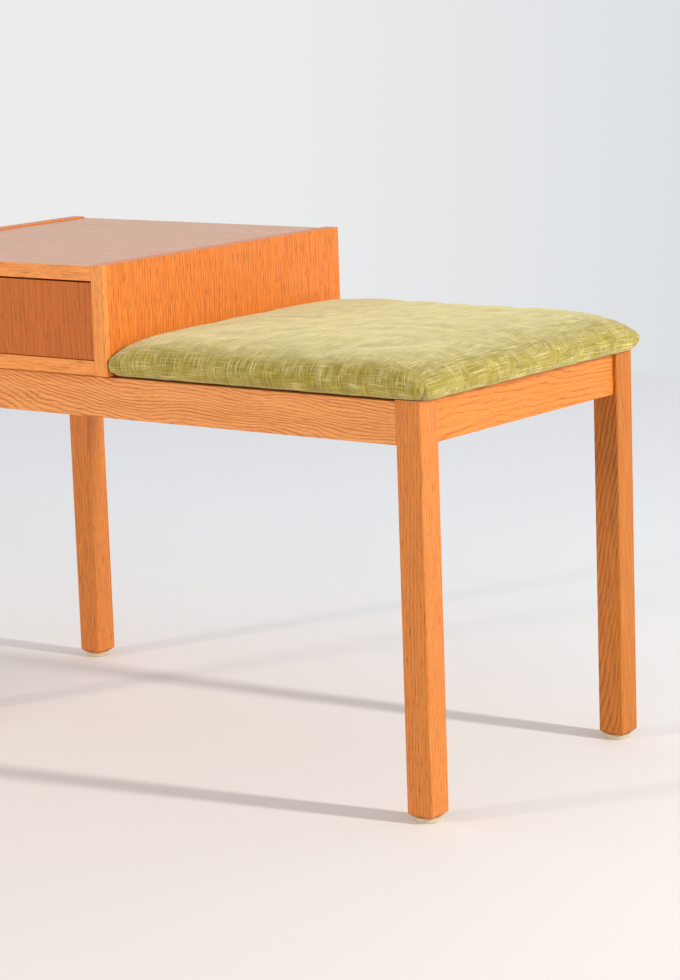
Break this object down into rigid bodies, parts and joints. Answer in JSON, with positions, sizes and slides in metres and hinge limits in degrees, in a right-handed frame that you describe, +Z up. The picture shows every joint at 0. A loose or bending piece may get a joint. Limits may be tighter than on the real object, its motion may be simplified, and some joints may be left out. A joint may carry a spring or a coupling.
{
  "type": "telephone bench",
  "caption": "Low oak hall bench: a leg frame carries a cabinet with one sliding drawer at one end and a padded velvet seat at the other.",
  "frame": {"origin": "On the floor, under the middle of the whole bench (centre of its bounding box, the drawer knob counted).", "axes": "+X along the bench from the cabinet end to the seat end, -Y the front that the drawer opens towards, +Z up."},
  "size_m": [0.8, 0.4186, 0.537],
  "materials": {
    "oak_leg": "oiled",
    "oak_rail": "oiled",
    "oak_lipping": "oiled",
    "oak_veneer_side": "satin lacquer",
    "oak_veneer_top": "satin lacquer",
    "oak_veneer_drawer": "satin lacquer",
    "beech": "bare",
    "birch": "bare",
    "plywood": "bare",
    "hardboard": "bare",
    "steel": "zinc plated",
    "glide_plastic": "moulded",
    "velvet": "woven pile",
    "foam": "open cell",
    "lining": "non-woven"
  },
  "bodies": {
    "bench": {"back_pins": "steel", "batten_cabinet_left": "beech", "batten_cabinet_right": "beech", "batten_dowels": "beech", "batten_seat_left": "beech", "batten_seat_right": "beech", "bottom_lipping": "oak_lipping", "cabinet_back": "hardboard", "cabinet_bottom": "oak_veneer_top", "cabinet_dowels": "beech", "cabinet_screws": "steel", "cabinet_side_left": "oak_veneer_side", "cabinet_side_right": "oak_veneer_side", "cabinet_top": "oak_veneer_top", "corner_block_back_left": "beech", "corner_block_back_right": "beech", "corner_block_front_left": "beech", "corner_block_front_right": "beech", "corner_screws": "steel", "drawer_stops": "beech", "glide_back_left": "glide_plastic", "glide_back_right": "glide_plastic", "glide_front_left": "glide_plastic", "glide_front_right": "glide_plastic", "glide_nails": "steel", "leg_back_left": "oak_leg", "leg_back_right": "oak_leg", "leg_front_left": "oak_leg", "leg_front_right": "oak_leg", "rail_back": "oak_rail", "rail_dowels": "beech", "rail_front": "oak_rail", "rail_left": "oak_rail", "rail_right": "oak_rail", "runner_left": "beech", "runner_right": "beech", "runner_screws": "steel", "seat_board": "plywood", "seat_cover": "velvet", "seat_foam": "foam", "seat_lining": "lining", "seat_screws": "steel", "seat_staples": "steel", "side_lipping_left": "oak_lipping", "side_lipping_right": "oak_lipping", "top_lipping": "oak_lipping"},
    "drawer": {"drawer_front": "oak_veneer_drawer", "drawer_side_left": "birch", "drawer_side_right": "birch", "drawer_back": "birch", "drawer_bottom": "plywood", "drawer_knob": "oak_lipping", "knob_screw": "steel", "drawer_dowels": "beech", "drawer_pins": "steel"}
  },
  "joints": [
    {"name": "drawer_slide", "type": "slide", "parent": "bench", "child": "drawer", "axis": [0, -1, 0], "range_m": [0, 0.26]}
  ]
}
